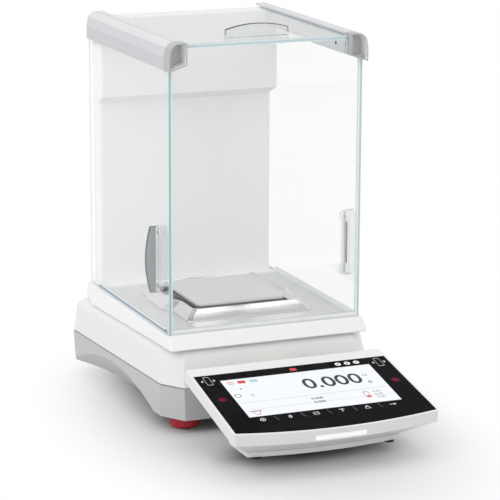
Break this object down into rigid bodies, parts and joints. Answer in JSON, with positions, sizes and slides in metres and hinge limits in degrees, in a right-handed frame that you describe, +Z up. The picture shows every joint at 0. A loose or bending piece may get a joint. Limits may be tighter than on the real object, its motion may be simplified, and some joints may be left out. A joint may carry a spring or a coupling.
{
  "type": "milligram balance",
  "caption": "Laboratory balance with a sliding glass draft shield, square pan with wind ring, levelling feet and a tilted touch terminal.",
  "frame": {"origin": "on the bench, under the middle of the whole object's box", "axes": "+X to the user's right, +Y to the rear, +Z up; the terminal faces -Y"},
  "size_m": [0.23, 0.3932, 0.3602],
  "materials": {
    "white_plastic": "fine satin",
    "white_metal": "fine satin paint",
    "grey_metal": "satin paint",
    "grey_plastic": "satin",
    "dark_plastic": "satin",
    "red_plastic": "moulded",
    "brushed_plate": "brushed",
    "polished_steel": "polished",
    "screw_steel": "zinc plated",
    "cast_aluminium": "machined",
    "brass": "turned",
    "copper": "enamelled wire",
    "clear_glass": "polished",
    "black_glass": "gloss",
    "clear_plastic": "clear moulded",
    "rubber": "matt",
    "board": "solder mask",
    "light": "diffusing",
    "infrared": "dark red window"
  },
  "bodies": {
    "base": {"bottom_casing": "grey_metal", "top_housing": "white_metal", "base_chassis": "cast_aluminium", "casing_screws": "screw_steel", "foot_inserts": "brass", "hook_cover_screw": "screw_steel", "rear_port_panel": "dark_plastic", "power_socket": "dark_plastic", "usb_sockets": "screw_steel", "serial_socket": "screw_steel", "main_board": "board", "spirit_level": "clear_plastic", "weigh_cell_block": "cast_aluminium", "magnet_pot": "screw_steel", "force_coil": "copper", "beam_lever": "cast_aluminium", "load_carrier": "cast_aluminium", "cal_motor": "dark_plastic", "shield_frame": "white_plastic", "floor_plate": "brushed_plate", "front_glass": "clear_glass", "left_rail": "white_metal", "right_rail": "white_metal", "rail_front_caps": "white_plastic", "rear_column": "white_plastic", "column_rear_cover": "white_plastic", "terminal_top_shell": "white_plastic", "terminal_bottom_shell": "white_plastic", "touch_glass": "black_glass", "display_panel": "dark_plastic", "terminal_board": "board", "light_bar": "light", "ir_sensors": "infrared", "terminal_feet": "rubber", "terminal_bracket": "screw_steel", "bracket_screws": "screw_steel"},
    "left_door": {"left_door_glass": "clear_glass", "left_door_handle": "clear_plastic", "left_handle_clamp": "clear_plastic"},
    "right_door": {"right_door_glass": "clear_glass", "right_door_handle": "clear_plastic", "right_handle_clamp": "clear_plastic"},
    "top_door": {"top_door_glass": "clear_glass", "top_door_handle": "clear_plastic", "top_handle_clamp": "clear_plastic"},
    "pan": {"weighing_pan": "brushed_plate", "pan_support": "cast_aluminium"},
    "ring": {"wind_ring": "polished_steel"},
    "calibration_screw": {"cal_screw": "screw_steel"},
    "calibration_lifter": {"cal_lifter": "cast_aluminium", "cal_weight": "polished_steel"},
    "below_hook_cover": {"hook_cover": "grey_plastic"},
    "pad_front_left": {"foot_pad_front_left": "rubber"},
    "wheel_front_left": {"foot_wheel_front_left": "red_plastic"},
    "pad_front_right": {"foot_pad_front_right": "rubber"},
    "wheel_front_right": {"foot_wheel_front_right": "red_plastic"},
    "pad_rear_left": {"foot_pad_rear_left": "rubber"},
    "wheel_rear_left": {"foot_wheel_rear_left": "red_plastic"},
    "pad_rear_right": {"foot_pad_rear_right": "rubber"},
    "wheel_rear_right": {"foot_wheel_rear_right": "red_plastic"}
  },
  "joints": [
    {"name": "left_door_slide", "type": "slide", "parent": "base", "child": "left_door", "axis": [0, 1, 0], "range_m": [0, 0.15]},
    {"name": "right_door_slide", "type": "slide", "parent": "base", "child": "right_door", "axis": [0, 1, 0], "range_m": [0, 0.15]},
    {"name": "top_door_slide", "type": "slide", "parent": "base", "child": "top_door", "axis": [0, 1, 0], "range_m": [0, 0.135]},
    {"name": "pan_lift", "type": "slide", "parent": "base", "child": "pan", "axis": [0, 0, 1], "range_m": [0, 0.06]},
    {"name": "ring_lift", "type": "slide", "parent": "base", "child": "ring", "axis": [0, 0, 1], "range_m": [0, 0.06]},
    {"name": "calibration_screw_turn", "type": "hinge", "parent": "base", "child": "calibration_screw", "pos_m": [0.04, 0.03356, 0.05], "axis": [0, 0, 1], "range_deg": [-1081, 0]},
    {"name": "calibration_lift", "type": "slide", "parent": "base", "child": "calibration_lifter", "axis": [0, 0, 1], "range_m": [-0.003, 0]},
    {"name": "hook_cover_turn", "type": "hinge", "parent": "base", "child": "below_hook_cover", "pos_m": [0.018, 0.07357, 0.011], "axis": [0, 0, 1], "range_deg": [0, 100]},
    {"name": "foot_front_left_height", "type": "slide", "parent": "base", "child": "pad_front_left", "axis": [0, 0, 1], "range_m": [-0.006, 0]},
    {"name": "foot_front_left_turn", "type": "hinge", "parent": "pad_front_left", "child": "wheel_front_left", "pos_m": [-0.078, -0.02344, 0.006], "axis": [0, 0, 1], "range_deg": [-1728, 0]},
    {"name": "foot_front_right_height", "type": "slide", "parent": "base", "child": "pad_front_right", "axis": [0, 0, 1], "range_m": [-0.006, 0]},
    {"name": "foot_front_right_turn", "type": "hinge", "parent": "pad_front_right", "child": "wheel_front_right", "pos_m": [0.078, -0.02344, 0.006], "axis": [0, 0, 1], "range_deg": [-1728, 0]},
    {"name": "foot_rear_left_height", "type": "slide", "parent": "base", "child": "pad_rear_left", "axis": [0, 0, 1], "range_m": [-0.006, 0]},
    {"name": "foot_rear_left_turn", "type": "hinge", "parent": "pad_rear_left", "child": "wheel_rear_left", "pos_m": [-0.066, 0.16956, 0.006], "axis": [0, 0, 1], "range_deg": [-1728, 0]},
    {"name": "foot_rear_right_height", "type": "slide", "parent": "base", "child": "pad_rear_right", "axis": [0, 0, 1], "range_m": [-0.006, 0]},
    {"name": "foot_rear_right_turn", "type": "hinge", "parent": "pad_rear_right", "child": "wheel_rear_right", "pos_m": [0.066, 0.16956, 0.006], "axis": [0, 0, 1], "range_deg": [-1728, 0]}
  ],
  "couplings": [
    {"joint": "calibration_screw_turn", "follows": "calibration_lift", "rad_per_m": 6283.2},
    {"joint": "foot_front_left_height", "follows": "foot_front_left_turn", "m_per_rad": 0.00019894},
    {"joint": "foot_front_right_height", "follows": "foot_front_right_turn", "m_per_rad": 0.00019894},
    {"joint": "foot_rear_left_height", "follows": "foot_rear_left_turn", "m_per_rad": 0.00019894},
    {"joint": "foot_rear_right_height", "follows": "foot_rear_right_turn", "m_per_rad": 0.00019894}
  ]
}
